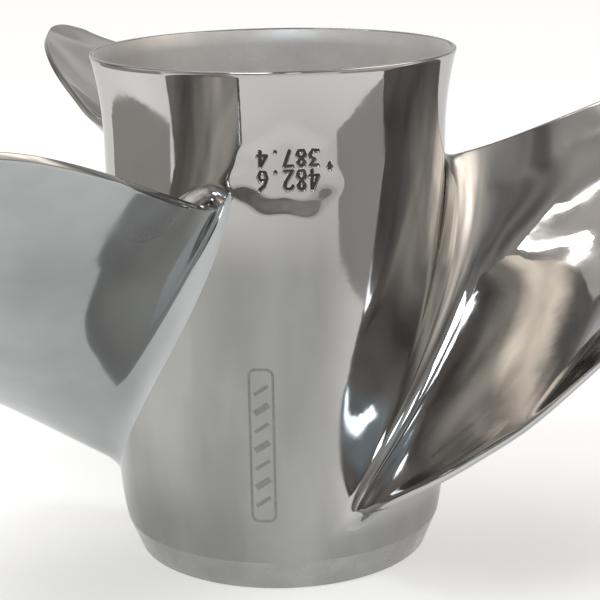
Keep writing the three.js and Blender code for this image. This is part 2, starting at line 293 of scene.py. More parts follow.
def make_barrel():
    """Outer surface from the band up, over the lip and down the inside; finely cut round the stamp."""
    fine_arc, fine_z = 0.18 * MM, 0.2 * MM
    stamp_low, stamp_high = 141.2 * MM, 157.2 * MM
    stamp_start, stamp_end = math.radians(-9), math.radians(20)
    dish_start, dish_end = math.radians(-19), math.radians(25)
    around = spread(
        -math.pi,
        (dish_start, math.radians(1.5)),
        (stamp_start, math.radians(0.5)),
        (stamp_end, fine_arc / BARREL_RADIUS),
        (dish_end, math.radians(0.5)),
        (math.pi, math.radians(1.5)),
    )
    around.pop()
    heights = spread(
        0.4 * MM,
        (BAND_HEIGHT - 1 * MM, 1.6 * MM),
        (BAND_HEIGHT + 1 * MM, 0.2 * MM),
        (BAND_HEIGHT + SHOULDER_HEIGHT, 1.6 * MM),
        (DISH_CENTRE[1] - 1.3 * DISH_REACH[1], 4 * MM),
        (stamp_low, 0.5 * MM),
        (stamp_high, fine_z),
        (DISH_CENTRE[1] + 1.3 * DISH_REACH[1], 0.5 * MM),
        (HUB_LENGTH - 0.7 * MM, 1.2 * MM),
    )
    arcs = np.array(around) * BARREL_RADIUS
    stamped = stamp_depth(arcs, np.array(heights))
    depth = stamped + dish_depth(arcs, np.array(heights))
    rings = []
    for row, z in enumerate(heights):
        outer = outer_radius(z)
        rings.append([cylindrical(outer - depth[k][row], angle, z) for k, angle in enumerate(around)])
    lip = FLARE_RADIUS - 0.45 * MM
    wall = BARREL_RADIUS - BARREL_WALL
    inside = [
        (lip + 0.1 * MM, HUB_LENGTH - 0.25 * MM),
        (lip - 0.3 * MM, HUB_LENGTH),
        (lip - FLARE_WALL + 0.6 * MM, HUB_LENGTH),
        (lip - FLARE_WALL, HUB_LENGTH - 0.4 * MM),
        (lip - FLARE_WALL - 1.3 * MM, HUB_LENGTH - 6 * MM),
        (BARREL_RADIUS - 0.4 * MM, FLARE_START + 17 * MM),
        (BARREL_RADIUS - 1.6 * MM, FLARE_START + 8 * MM),
        (wall + 0.3 * MM, FLARE_START),
        (wall, FLARE_START - 8 * MM),
        (wall, FLARE_START - 60 * MM),
        (wall, BAND_HEIGHT + 18 * MM),
        (wall - 0.8 * MM, BAND_HEIGHT + 9 * MM),
        (BAND_RADIUS - BARREL_WALL, BAND_HEIGHT + 1 * MM),
        (RIM_RADIUS - BARREL_WALL + 0.2 * MM, 0.5 * MM),
        (RIM_RADIUS - BARREL_WALL + 0.7 * MM, 0),
        (RIM_RADIUS - 0.5 * MM, 0),
    ]
    for radius, z in inside:
        rings.append([cylindrical(radius, angle, z) for angle in around])
    count = len(around)
    barrel = new_object("barrel", flat(rings), ring_faces(len(rings), count, closed_rings=True), 60)
    store_satin_and_painted_shade(barrel, barrel_satin_and_painted_shade)
    band_rows = sum(z <= BAND_HEIGHT for z in heights) - 1
    inside_rows = (len(heights) + 3, len(rings) - 3)
    grooves = np.flatnonzero(stamped.T[:-1] > STAMP_DEPTH * 0.7).tolist()
    add_surface(barrel, POLISHED)
    add_surface(barrel, CAST, range(inside_rows[0] * count, inside_rows[1] * count))
    add_surface(barrel, BAND, range(band_rows * count))
    # Painted shade in the deep parts of the stamp.
    add_surface(barrel, STAMPED_PAINTED_SHADE, grooves)
    return barrel


# Each pair is where the polish starts to turn dull and darker with painted shade, and where it is fully so:
# heights, and degrees at the right and left of the front. The foot pair holds all round, near the band.
SATIN_SHADE_TOP = (138 * MM, 112 * MM)
SATIN_SHADE_RIGHT = (27, 12)
SATIN_SHADE_LEFT = (-75, -60)
SATIN_SHADE_FOOT = (30 * MM, 18 * MM)


def barrel_satin_and_painted_shade(point):
    """How dull the polish is, and how much painted shade darkens it: dull with a brush grain on the lower
    front and above the band, mirror bright elsewhere.
    """
    angle = math.degrees(math.atan2(point.x, -point.y))
    front = smoothstep(angle, *SATIN_SHADE_RIGHT) * smoothstep(angle, *SATIN_SHADE_LEFT)
    return max(smoothstep(point.z, *SATIN_SHADE_TOP) * front, smoothstep(point.z, *SATIN_SHADE_FOOT))


# ---- generic etched mark: a rounded frame with slanting bars, up the lower front of the barrel ----
MARK_CENTRE = (math.radians(-6.2) * BARREL_RADIUS, 55 * MM)
MARK_HALF_WIDTH = 4 * MM
MARK_HALF_HEIGHT = 27 * MM
MARK_CORNER = 2.6 * MM
MARK_LINE = 0.45 * MM
MARK_PROUD = 0.025 * MM
MARK_SUNK = 0.1 * MM
MARK_BARS = 7
MARK_BAR_PITCH = 6.6 * MM
MARK_BAR_REACH = (2.4 * MM, 1.6 * MM)
MARK_BAR_HALF_WIDTHS = (1.4 * MARK_LINE, 2.4 * MARK_LINE)


def strip_on_barrel(path, half_width, closed):
    """Vertices and faces of a thin closed band along path, (arc, z) points on the barrel's outer surface."""
    vertices = []
    count = len(path)
    for i, (arc, z) in enumerate(path):
        before = path[i - 1] if closed or i else path[i]
        after = path[(i + 1) % count] if closed or i < count - 1 else path[i]
        run, climb = after[0] - before[0], after[1] - before[1]
        length = math.hypot(run, climb)
        side = (-climb / length * half_width, run / length * half_width)
        for sign, lift in ((1, MARK_PROUD), (-1, MARK_PROUD), (-1, -MARK_SUNK), (1, -MARK_SUNK)):
            edge_z = z + sign * side[1]
            angle = (arc + sign * side[0]) / BARREL_RADIUS
            vertices.append(cylindrical(outer_radius(edge_z) + lift, angle, edge_z))
    faces = ring_faces(count, 4, closed_rings=closed)
    if not closed:
        faces.append((3, 2, 1, 0))
        faces.append(tuple(4 * (count - 1) + k for k in range(4)))
    return vertices, faces


def closely_spaced(outline, spacing):
    """The closed outline without doubled points and with no gap longer than `spacing`."""
    points = []
    for i, start in enumerate(outline):
        end = outline[(i + 1) % len(outline)]
        gap = math.dist(start, end)
        if gap < 0.01 * MM:
            continue
        steps = math.ceil(gap / spacing)
        points += [tuple(a + (b - a) * step / steps for a, b in zip(start, end)) for step in range(steps)]
    return points


def make_mark():
    """The frame and its bars as one piece; every second bar is wider."""
    centre_arc, centre_z = MARK_CENTRE
    corners = [(-MARK_HALF_WIDTH, -MARK_HALF_HEIGHT), (MARK_HALF_WIDTH, -MARK_HALF_HEIGHT)]
    corners += [(MARK_HALF_WIDTH, MARK_HALF_HEIGHT), (-MARK_HALF_WIDTH, MARK_HALF_HEIGHT)]
    outline = [(centre_arc + arc, centre_z + z) for arc, z in rounded(corners, MARK_CORNER, steps=8)]
    outline = closely_spaced(outline, 1.5 * MM)
    parts = [(outline, MARK_LINE, True)]
    for bar in range(MARK_BARS):
        z = centre_z + (bar - (MARK_BARS - 1) / 2) * MARK_BAR_PITCH
        across, climb = MARK_BAR_REACH
        ends = [(centre_arc - across, z - climb), (centre_arc + across, z + climb)]
        steps = 5
        path = [tuple(a + (b - a) * step / steps for a, b in zip(*ends)) for step in range(steps + 1)]
        parts.append((path, MARK_BAR_HALF_WIDTHS[bar % 2], False))
    vertices, faces = [], []
    for path, half_width, closed in parts:
        more_vertices, more_faces = strip_on_barrel(path, half_width, closed)
        faces += [tuple(index + len(vertices) for index in face) for face in more_faces]
        vertices += more_vertices
    return new_object("etched_mark", vertices, faces)


# ---- blades: curves through (radius, value) points, in mm and degrees, for the right-hand blade ----
LEADING_ANGLE = smooth_through([
    (56, 25), (80, 24.8), (94, 26.8), (104, 29.4), (112, 34), (120, 39.8), (134, 49), (154, 58.5),
    (170, 65.5), (183, 72.5), (190.5, 78), (193.675, 82),
])
LEADING_HEIGHT = smooth_through([
    (56, 25), (80, 37.5), (94, 46.5), (104, 53.6), (112, 61.5), (120, 70.5), (134, 90), (154, 115),
    (170, 133.5), (183, 149), (190.5, 158.5), (193.675, 163.5),
])
TRAILING_ANGLE = smooth_through([
    (56, 100.5), (64, 102), (80, 104.3), (100, 105), (120, 102.6), (140, 100.2), (160, 97),
    (172, 94.2), (182, 91.8), (190, 89), (193.675, 86.3),
])
TRAILING_HEIGHT = smooth_through([
    (56, 137.5), (80, 141), (100, 146.2), (120, 154), (140, 162.3), (160, 169.8),
    (172, 172.8), (182, 173.4), (190, 172.6), (193.675, 170),
])
MEAN_LINE_SAG = smooth_through([(56, 6.5), (110, 6.5), (150, 5), (193.675, 0.6)])
THICKNESS = smooth_through([(56, 12), (80, 9.5), (110, 7.5), (150, 5), (193.675, 2.6)])
FILLET_RADIUS = 6
FILLET_GROWTH = 11
SETTLE_HEIGHT = 8
EDGE_HALF_THICKNESS = 0.7
TRAILING_HALF_THICKNESS = 1.5
EDGE_ROUNDING = 0.55
FULLEST = 0.55
HOLLOW_DEPTH = 0.9
HOLLOW_FROM_EDGE = 36
HOLLOW_HALF_WIDTH = 20
HOLLOW_ROOT = (66, 84)
HOLLOW_TIP = (186, 160)
CHORD_STEPS = 64
ROOT_RADII = [59.2, 60.3, 60.32, 60.4, 60.55, 60.8, 61.2, 61.7, 62.4, 63.3, 64.5, 66, 68, 70.5, 73.5, 77]
EVEN_SECTIONS = 44
TIP_START = 186
TIP_SECTIONS = 10


def half_thickness(radius, s, chord):
    """Half thickness at fraction s of the chord, with both edges rounded over."""
    full = THICKNESS(radius) / 2
    nose = math.sqrt(min(s / FULLEST, 1))
    body = EDGE_HALF_THICKNESS + (full - EDGE_HALF_THICKNESS) * math.sin(nose * math.pi / 2)
    tail = max(s - FULLEST, 0) / (1 - FULLEST)
    trailing = min(TRAILING_HALF_THICKNESS, full * 0.8)
    thick = body + (trailing - body) * tail * tail
    inward = max(1 - min(s, 1 - s) * chord / EDGE_ROUNDING, 0)
    return thick - EDGE_ROUNDING * (1 - math.sqrt(max(1 - inward * inward, 0)))


def fillet_flare(above, size):
    """How far a root fillet of the given size widens a section that lies `above` the barrel."""
    left = min(max(1 - above / size, 0), 1)
    return size * (1 - math.sqrt(1 - left * left))


def hollow_depth(radius, from_trailing):
    """Depth of the shallow hollow polished into the after face, along the trailing edge."""
    across = max(1 - ((from_trailing - HOLLOW_FROM_EDGE) / HOLLOW_HALF_WIDTH) ** 2, 0)
    return HOLLOW_DEPTH * across**2 * smoothstep(radius, *HOLLOW_ROOT) * smoothstep(radius, *HOLLOW_TIP)


def blade_point(radius, s, side):
    """Point at fraction s of the chord, on the forward face (side -1) or the after face (side 1)."""
    lead = math.radians(LEADING_ANGLE(radius))
    sweep = math.radians(TRAILING_ANGLE(radius)) - lead
    rise = TRAILING_HEIGHT(radius) - LEADING_HEIGHT(radius)
    sag = MEAN_LINE_SAG(radius)
    along = radius * sweep
    up = rise - sag * 4 * (1 - 2 * s)
    length = math.hypot(along, up)
    above = radius - BARREL_RADIUS / MM
    flare = fillet_flare(above, FILLET_RADIUS + (FILLET_GROWTH * s * s if side > 0 else 0))
    from_middle = 2 * s - 1
    out = side * (half_thickness(radius, s, length) + flare * math.sqrt(max(1 - from_middle**4, 0)))
    if side > 0:
        out -= hollow_depth(radius, (1 - s) * length)
    ends = fillet_flare(above, FILLET_RADIUS) * from_middle**3
    angle = lead + sweep * s + (-out * up + ends * along) / (length * radius)
    z = LEADING_HEIGHT(radius) + rise * s - sag * 4 * s * (1 - s) + (out * along + ends * up) / length
    narrower = BARREL_RADIUS - outer_radius(z * MM)
    settle = min(max(1 - above / SETTLE_HEIGHT, 0), 1)
    return cylindrical(radius * MM - narrower * settle * settle, angle, z * MM)


def foot_satin_and_painted_shade(point):
    """The barrel's own dullness and painted shade where the blade's foot runs out on it, and none further up.
    """
    above = math.hypot(point.x, point.y) - outer_radius(point.z)
    return barrel_satin_and_painted_shade(point) * smoothstep(above, 6 * MM, 0.5 * MM)


def make_blade(name, turn):
    """Sections on cylinders about the shaft line: along the forward face and back along the after face."""
    shares = [(1 - math.cos(math.pi * i / CHORD_STEPS)) / 2 for i in range(CHORD_STEPS + 1)]
    root, tip = ROOT_RADII[-1], TIP_RADIUS / MM
    radii = list(ROOT_RADII)
    radii += [root + (TIP_START - root) * i / EVEN_SECTIONS for i in range(1, EVEN_SECTIONS + 1)]
    eased = [math.sin(math.pi / 2 * i / TIP_SECTIONS) for i in range(1, TIP_SECTIONS + 1)]
    radii += [TIP_START + (tip - TIP_START) * share for share in eased]
    rows = []
    for radius in radii:
        rows += [blade_point(radius, s, -1) for s in shares]
        rows += [blade_point(radius, s, 1) for s in reversed(shares)]
    around = 2 * (CHORD_STEPS + 1)
    faces = ring_faces(len(radii), around)
    top = (len(radii) - 1) * around
    for k in range(CHORD_STEPS):
        far = around - 1 - k
        faces.append((k, far, far - 1, k + 1))
        faces.append((top + k, top + k + 1, top + far - 1, top + far))
    turned = Matrix.Rotation(math.radians(turn), 3, "Z")
    blade = new_object(name, [tuple(turned @ Vector(point)) for point in rows], faces, sharp_angle=50)
    store_satin_and_painted_shade(blade, foot_satin_and_painted_shade)
    add_surface(blade, POLISHED)
    # The forward faces get the finish whose darker tone is painted shade.
    add_surface(blade, BUFFED_PAINTED_SHADE, (index for index in range(top) if index % around < CHORD_STEPS))
    return blade


# ---- inner hub, ribs and hub kit ----
def edges_of(node):
    """Outer radius, bottom and top of a round CAD node, in metres."""
    low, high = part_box(node)
    return high[0], low[2], high[2]


def turned_ring(name, corners, rounding, segments=96):
    """A ring turned about Z from (radius, z) corners, anticlockwise in that plane, each rounded over."""
    rings = [circle(radius, z, segments) for radius, z in rounded(corners, rounding)]
    return new_object(name, flat(rings), ring_faces(len(rings), segments, closed_rings=True), 40)


def make_inner_hub():
    outer, bottom, top = edges_of("inner_hub")
    bore = outer - 4 * MM
    corners = [
        (bore + 0.8 * MM, bottom), (outer - 1.2 * MM, bottom), (outer, bottom + 4 * MM),
        (outer, top - 7 * MM), (outer - 1.3 * MM, top - 1.5 * MM), (outer - 1.3 * MM, top),
        (bore + 0.8 * MM, top), (bore, top - 1.5 * MM), (bore, bottom + 1.5 * MM),
    ]
    return turned_ring("inner_hub_casting", corners, 1.2 * MM, 128)


RIB_FRONT, RIB_BACK = 31.7 * MM, 122 * MM
RIB_HALF_THICKNESS = 2.5 * MM
RIB_FILLET = 5 * MM


def make_rib(index):
    """A web from the inner hub to the barrel wall, filleted into both."""
    inner, outer = INNER_HUB_RADIUS - 0.4 * MM, BARREL_RADIUS - BARREL_WALL + 0.3 * MM
    stations = 28
    end_steps = 10
    turned = Matrix.Rotation(math.radians(60 + 120 * index), 3, "Z")
    rings = []
    for station in range(stations + 1):
        share = (1 - math.cos(math.pi * station / stations)) / 2
        radius = inner + (outer - inner) * share
        near = min(radius - INNER_HUB_RADIUS, BARREL_RADIUS - BARREL_WALL - radius)
        flare = fillet_flare(max(near, 0), RIB_FILLET)
        half, reach = RIB_HALF_THICKNESS + flare, flare * 0.7
        low, high = RIB_FRONT - reach, RIB_BACK + reach
        section = arc_points((0, high - half), half, 0, math.pi, end_steps)
        section += arc_points((0, low + half), half, math.pi, math.pi, end_steps)
        rings.append([
            tuple(turned @ Vector(cylindrical(radius, across / radius, z))) for across, z in section
        ])
    return capped(f"cast_rib_{index + 1}", rings, sharp_angle=45)


def make_bushing_shell():
    outer, bottom, top = edges_of("bushing_shell")
    wall = 1.5 * MM
    corners = [
        (outer - wall, bottom), (outer - 0.5 * MM, bottom), (outer, bottom + 1.2 * MM),
        (outer, top - 1.2 * MM), (outer - 0.5 * MM, top), (outer - wall, top),
    ]
    return turned_ring("pressed_shell", corners, 0.3 * MM)


def make_rubber():
    """Moulded sleeve whose end faces are dished between the shell and the drive sleeve."""
    outer, bottom, top = edges_of("rubber_bushing")
    bore = edges_of("drive_sleeve")[0] + 0.3 * MM
    middle = (outer + bore) / 2
    dish, land = 1.8 * MM, 0.9 * MM
    corners = [
        (bore, bottom), (bore + land, bottom), (middle, bottom + dish), (outer - land, bottom),
        (outer, bottom), (outer, top), (outer - land, top), (middle, top - dish), (bore + land, top),
        (bore, top),
    ]
    return turned_ring("moulded_bushing", corners, 1 * MM)


SPLINES = 15
SPLINE_GROOVE, SPLINE_CREST = 15.9 * MM, 14.3 * MM


def spline_radius(angle):
    """Radius of the splined bore: crests and grooves with sloping flanks."""
    share = (angle * SPLINES / (2 * math.pi)) % 1
    groove = smoothstep(share, 0.42, 0.56) * smoothstep(share, 0.98, 0.86)
    return SPLINE_CREST + (SPLINE_GROOVE - SPLINE_CREST) * groove


def make_drive_sleeve():
    """Bronze tube with chamfered ends and a splined bore that opens at both mouths."""
    outer, bottom, top = edges_of("drive_sleeve")
    around = SPLINES * 16
    angles = [2 * math.pi * k / around for k in range(around)]
    chamfer = 0.9 * MM
    outline = [
        (outer - chamfer, bottom), (outer - chamfer * 0.3, bottom + chamfer * 0.3),
        (outer, bottom + chamfer), (outer, bottom + 3 * MM), (outer, top - 3 * MM), (outer, top - chamfer),
        (outer - chamfer * 0.3, top - chamfer * 0.3), (outer - chamfer, top),
    ]
    rings = [circle(radius, z, around) for radius, z in outline]
    lead_in = 1.7 * MM
    mouth = [(0, 1), (0.15, 0.9), (1, 0), (30, 0)]
    for end, inward, stages in ((top, -1, mouth), (bottom, 1, reversed(mouth))):
        for depth, opened in stages:
            z = end + inward * depth * lead_in
            rings.append([cylindrical(widened(angle, opened), angle, z) for angle in angles])
    return new_object("splined_sleeve", flat(rings), ring_faces(len(rings), around, closed_rings=True), 30)


def widened(angle, opened):
    """The splined bore's radius, opened towards the groove radius at the chamfered ends."""
    radius = spline_radius(angle)
    return radius + (SPLINE_GROOVE + 0.25 * MM - radius) * opened


SHAFT_BORE = 16.2 * MM
WASHER_BORE = 9.9 * MM
THRUST_RADIUS = 25 * MM
THRUST_MOUTH, THRUST_FACE = 18.6 * MM, 23.5 * MM
SPACER_NECK = 20.6 * MM


def make_thrust_washer():
    _, bottom, top = edges_of("thrust_washer")
    outer = THRUST_RADIUS
    corners = [
        (THRUST_MOUTH, bottom), (THRUST_FACE, bottom), (outer, bottom + 1.5 * MM), (outer, top - 0.8 * MM),
        (outer - 0.8 * MM, top), (SHAFT_BORE, top), (SHAFT_BORE, top - 2.4 * MM),
    ]
    return turned_ring("machined_thrust_washer", corners, 0.4 * MM)


def make_rear_spacer():
    outer, bottom, top = edges_of("rear_spacer")
    bore, neck = SHAFT_BORE, SPACER_NECK
    corners = [
        (bore, bottom), (outer - 0.8 * MM, bottom), (outer, bottom + 0.8 * MM), (outer, bottom + 4 * MM),
        (neck, bottom + 7 * MM), (neck, top - 4 * MM), (neck - 0.6 * MM, top - 3.6 * MM),
        (neck - 0.6 * MM, top - 2.6 * MM), (neck, top - 2.2 * MM), (neck, top - 0.8 * MM),
        (neck - 0.8 * MM, top), (bore + 0.8 * MM, top), (bore, top - 0.8 * MM),
    ]
    return turned_ring("machined_spacer", corners, 0.5 * MM)


def make_shaft_washer():
    outer, bottom, top = edges_of("shaft_washer")
    corners = [(WASHER_BORE, bottom), (outer, bottom), (outer, top), (WASHER_BORE, top)]
    return turned_ring("pressed_washer", corners, 0.7 * MM)


# ---- castellated nut and split pin ----
NUT_ACROSS_FLATS = 27 * MM
NUT_HEX_HEIGHT = 14 * MM
NUT_CROWN_RADIUS = 13 * MM
NUT_SLOT_WIDTH = 4.4 * MM
NUT_THREAD = 9.5 * MM
THREAD_DEPTH = 0.75 * MM
THREAD_PITCH = 25.4 / 16 * MM


def boolean(obj, operation, tool):
    """Cuts or joins the tool into the object's mesh for good, and removes the tool."""
    modifier = obj.modifiers.new("cut", "BOOLEAN")
    modifier.operation = operation
    modifier.solver = "EXACT"
    modifier.object = tool
    evaluated = obj.evaluated_get(bpy.context.evaluated_depsgraph_get())
    mesh = bpy.data.meshes.new_from_object(evaluated)
    obj.modifiers.clear()
    obj.data = mesh
    bpy.data.objects.remove(tool)


def thread_cutter(low, high):
    """A round core with a helical ridge, longer than the nut."""
    around = 60
    step = THREAD_PITCH / 8
    rings = []
    for row in range(round((high - low) / step) + 1):
        z = low + row * step
        ring = []
        for k in range(around):
            turn = (z / THREAD_PITCH - k / around) % 1
            ridge = 1 - abs(2 * turn - 1)
            ring.append(cylindrical(NUT_THREAD - THREAD_DEPTH * (1 - ridge), 2 * math.pi * k / around, z))
        rings.append(ring)
    return capped("thread_cutter", rings)


def prism(name, outline, low, high):
    """A solid of the closed (x, y) outline between two heights."""
    count = len(outline)
    points = [(x, y, low) for x, y in outline] + [(x, y, high) for x, y in outline]
    faces = [tuple(reversed(range(count))), tuple(range(count, 2 * count))]
    faces += [(k, (k + 1) % count, count + (k + 1) % count, count + k) for k in range(count)]
    return new_object(name, points, faces)


def solid_turned(name, profile):
    """A solid of revolution from (radius, z) points, closed by flat discs at both ends."""
    return capped(name, [circle(radius, z, 96) for radius, z in profile])


def make_nut():
    """Hexagon with chamfered corners and a slotted round crown, threaded through."""
    _, bottom, top = edges_of("prop_nut")
    hex_top = bottom + NUT_HEX_HEIGHT
    half = NUT_ACROSS_FLATS / 2
    corner = half / math.cos(math.pi / 6)
    turns = [math.pi / 3 * k + math.pi / 2 for k in range(6)]
    hexagon = [(corner * math.cos(turn), corner * math.sin(turn)) for turn in turns]
    nut = prism("castellated_nut", hexagon, bottom, hex_top)
    chamfer = [
        (half - 0.4 * MM, bottom), (corner, bottom + 1.5 * MM),
        (corner, hex_top - 1.5 * MM), (half - 0.4 * MM, hex_top),
    ]
    boolean(nut, "INTERSECT", solid_turned("chamfer_tool", chamfer))
    crown = [
        (NUT_CROWN_RADIUS, hex_top - 1 * MM), (NUT_CROWN_RADIUS, top - 0.9 * MM),
        (NUT_CROWN_RADIUS - 0.3 * MM, top - 0.3 * MM), (NUT_CROWN_RADIUS - 0.9 * MM, top),
    ]
    boolean(nut, "UNION", solid_turned("crown_tool", crown))
    across, clear = NUT_SLOT_WIDTH / 2, top + 5 * MM
    slot_floor = arc_points((0, hex_top + across), across, math.pi, math.pi, 10)
    for turn in range(3):
        slot = prism("slot_tool", [(-across, clear), *slot_floor, (across, clear)], -30 * MM, 30 * MM)
        place = Matrix.Rotation(math.pi / 3 * turn, 4, "Z") @ Matrix.Rotation(math.pi / 2, 4, "Z")
        slot.data.transform(place @ Matrix.Rotation(math.pi / 2, 4, "X"))
        boolean(nut, "DIFFERENCE", slot)
    boolean(nut, "DIFFERENCE", thread_cutter(bottom - 2 * MM, top + 2 * MM))
    nut.data.shade_smooth()
    nut.data.set_sharp_from_angle(angle=math.radians(25))
    return nut


# Points of the long leg as (along, up) in mm from the pin's axis, with the eye's centre and radius.
PIN_RADIUS = 1.35 * MM
PIN_FLAT_GAP = 0.12 * MM
PIN_POINTS = [(-21, 4.2), (-18.5, 2), (-16, 0.3), (-8, 0), (4, 0), (13, 0), (16.6, 1.3)]
PIN_SHORT_END = -15.5
PIN_EYE = (19.4, 2.9)
PIN_BELOW_TOP = 5 * MM


def make_pin():
    """Half-round wire folded flat to flat, with an eye and thinner ends; the long leg's end is bent aside."""
    axis_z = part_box("cotter_pin")[1][2] - PIN_BELOW_TOP
    centre_x, eye_radius = PIN_EYE
    gap = PIN_FLAT_GAP / MM
    upper = [(x, z + gap) for x, z in PIN_POINTS]
    eye = arc_points((centre_x, 0), eye_radius, math.radians(130), math.radians(-260), 10)
    lower = [(x, -z - gap) for x, z in reversed(PIN_POINTS[3:])]
    lower.append((PIN_SHORT_END, -gap))
    path = catmull(upper + eye + lower, 6)
    section = arc_points((0, 0), PIN_RADIUS, 0, math.pi, 10)
    rings = []
    count = len(path)
    for i, (x, z) in enumerate(path):
        before, after = path[max(i - 1, 0)], path[min(i + 1, count - 1)]
        run, climb = after[0] - before[0], after[1] - before[1]
        length = math.hypot(run, climb)
        outward = (-climb / length, run / length)
        from_end = min(i, count - 1 - i)
        size = 0.7 + 0.3 * min(from_end / 3, 1)
        rings.append([
            (x * MM + outward[0] * out * size, across * size, axis_z + z * MM + outward[1] * out * size)
            for across, out in section
        ])
    return capped("split_pin", rings, sharp_angle=50)


def catmull(points, steps):
    """Points along a smooth curve through the given ones."""
    path = []
    for i in range(len(points) - 1):
        before = points[max(i - 1, 0)]
        start, end = points[i], points[i + 1]
        after = points[min(i + 2, len(points) - 1)]
        for step in range(steps):
            s = step / steps
            point = []
            for a, b, c, d in zip(before, start, end, after):
                square, cube = 2 * a - 5 * b + 4 * c - d, 3 * b - a - 3 * c + d
                point.append(0.5 * (2 * b + (c - a) * s + square * s * s + cube * s**3))
            path.append(tuple(point))
    path.append(points[-1])
    return path


# ---- materials; NOISE_SPAN is the part of its range that noise mostly fills ----
NOISE_SPAN = (0.35, 0.65)
EDGE_TINT = 0.78


def new_material(name, metallic=0.0, edge_tint=1.0):
    """A material, its node tree and its shader; edge_tint is the grey of a metal seen at a grazing angle."""
    surface = bpy.data.materials.new(name)
    surface.use_nodes = True
    shader = surface.node_tree.nodes["Principled BSDF"]
    shader.inputs["Metallic"].default_value = metallic
    shader.inputs["Specular Tint"].default_value = (edge_tint, edge_tint, edge_tint, 1)
    return surface, surface.node_tree, shader


def noise(tree, scale, detail, stretch=(1, 1, 1)):
    """Noise in object space, at `scale` features a metre, optionally stretched."""
    coordinates = tree.nodes.new("ShaderNodeTexCoord")
    mapping = tree.nodes.new("ShaderNodeMapping")
    mapping.inputs["Scale"].default_value = stretch
    texture = tree.nodes.new("ShaderNodeTexNoise")
    texture.inputs["Scale"].default_value = scale
    texture.inputs["Detail"].default_value = detail
    tree.links.new(coordinates.outputs["Object"], mapping.inputs["Vector"])
    tree.links.new(mapping.outputs["Vector"], texture.inputs["Vector"])
    return texture.outputs["Fac"]


def remap(tree, value, to, start=NOISE_SPAN, interpolation="LINEAR"):
    """Maps the range `start` to the range `to`, held at its ends."""
    node = tree.nodes.new("ShaderNodeMapRange")
    node.interpolation_type = interpolation
    node.inputs["From Min"].default_value, node.inputs["From Max"].default_value = start
    node.inputs["To Min"].default_value, node.inputs["To Max"].default_value = to
    tree.links.new(value, node.inputs["Value"])
    return node.outputs["Result"]


def tint(tree, factor, *tones):
    """Colour between a dark and a light tone, over the part of its range that noise fills."""
    ramp = tree.nodes.new("ShaderNodeValToRGB")
    for element, position, tone in zip(ramp.color_ramp.elements, NOISE_SPAN, tones):
        element.position = position
        element.color = (*tone, 1)
    tree.links.new(factor, ramp.inputs["Fac"])
    return ramp.outputs["Color"]


def add_relief(tree, shader, layers):
    """Stacks bumps: each layer is (noise, depth in metres), where a noise is (scale, detail[, stretch])."""
    previous = None
    for grain, depth in layers:
        bump = tree.nodes.new("ShaderNodeBump")
        bump.inputs["Strength"].default_value = 1.0
        bump.inputs["Distance"].default_value = depth
        tree.links.new(noise(tree, *grain), bump.inputs["Height"])
        if previous:
            tree.links.new(previous, bump.inputs["Normal"])
        previous = bump.outputs["Normal"]
    tree.links.new(previous, shader.inputs["Normal"])


def blend(tree, kind, factor, first, second):
    """Mixes two FLOAT or RGBA values; the node has separate sockets for each kind."""
    first_input, output = {"FLOAT": (2, 0), "RGBA": (6, 2)}[kind]
    node = tree.nodes.new("ShaderNodeMix")
    node.data_type = kind
    tree.links.new(factor, node.inputs[0])
    tree.links.new(first, node.inputs[first_input])
    tree.links.new(second, node.inputs[first_input + 1])
    return node.outputs[output]


FINE_SCRATCHES = ((700, 2, (1, 1, 0.15)), 0.0006 * MM)


def polished_steel():
    """Hand-polished cast stainless: mirror bright, softly wavy, a little duller where its vertex attribute
    says so, and darker there as painted shade.
    """
    surface, tree, shader = new_material("polished_stainless", 1.0, EDGE_TINT)
    attribute = tree.nodes.new("ShaderNodeAttribute")
    attribute.attribute_name = "satin_and_painted_shade"
    satin_and_painted_shade = attribute.outputs["Fac"]
    bright = tint(tree, noise(tree, 18, 2), (0.48, 0.472, 0.46), (0.54, 0.532, 0.52))
    # The dull tone is darker than the bright one as painted shade.
    brushed_and_shaded = tint(tree, noise(tree, 34, 4, (1, 1, 0.35)), (0.28, 0.281, 0.272), (0.37, 0.371, 0.361))
    tree.links.new(blend(tree, "RGBA", satin_and_painted_shade, bright, brushed_and_shaded), shader.inputs["Base Color"])
    mirror = remap(tree, noise(tree, 60, 4), (0.03, 0.09))
    dull = remap(tree, noise(tree, 45, 5), (0.13, 0.24))
    tree.links.new(blend(tree, "FLOAT", satin_and_painted_shade, mirror, dull), shader.inputs["Roughness"])
    add_relief(tree, shader, [((42, 1), 0.11 * MM), ((260, 2), 0.01 * MM), FINE_SCRATCHES])
    return surface


def noisy_surface(name, cloud, tones, patches, roughness, relief, metallic=1.0, edge_tint=1.0):
    """A material whose tone, roughness and relief all come from noise, each given as add_relief says."""
    surface, tree, shader = new_material(name, metallic, edge_tint)
    tree.links.new(tint(tree, noise(tree, *cloud), *tones), shader.inputs["Base Color"])
    tree.links.new(remap(tree, noise(tree, *patches), roughness), shader.inputs["Roughness"])
    add_relief(tree, shader, relief)
    return surface


def turned_metal(name, dark, light, *roughness):
    """Machined metal: fine rings round Z from a lathe tool."""
    relief = [((60, 2, (1, 1, 60)), 0.02 * MM), ((2200, 2), 0.004 * MM)]
    return noisy_surface(name, (70, 4), (dark, light), (160, 4), roughness, relief)


POLISHED = polished_steel()
# Forward faces of the blades: a cooler, slightly hazy buffed finish, darker in tone as painted shade.
BUFFED_PAINTED_SHADE = noisy_surface(
    "buffed_stainless_painted_shade", (26, 4, (1, 1, 0.5)), ((0.4, 0.413, 0.417), (0.48, 0.496, 0.501)),
    (45, 5), (0.05, 0.11), [((36, 1), 0.1 * MM), FINE_SCRATCHES], edge_tint=EDGE_TINT,
)
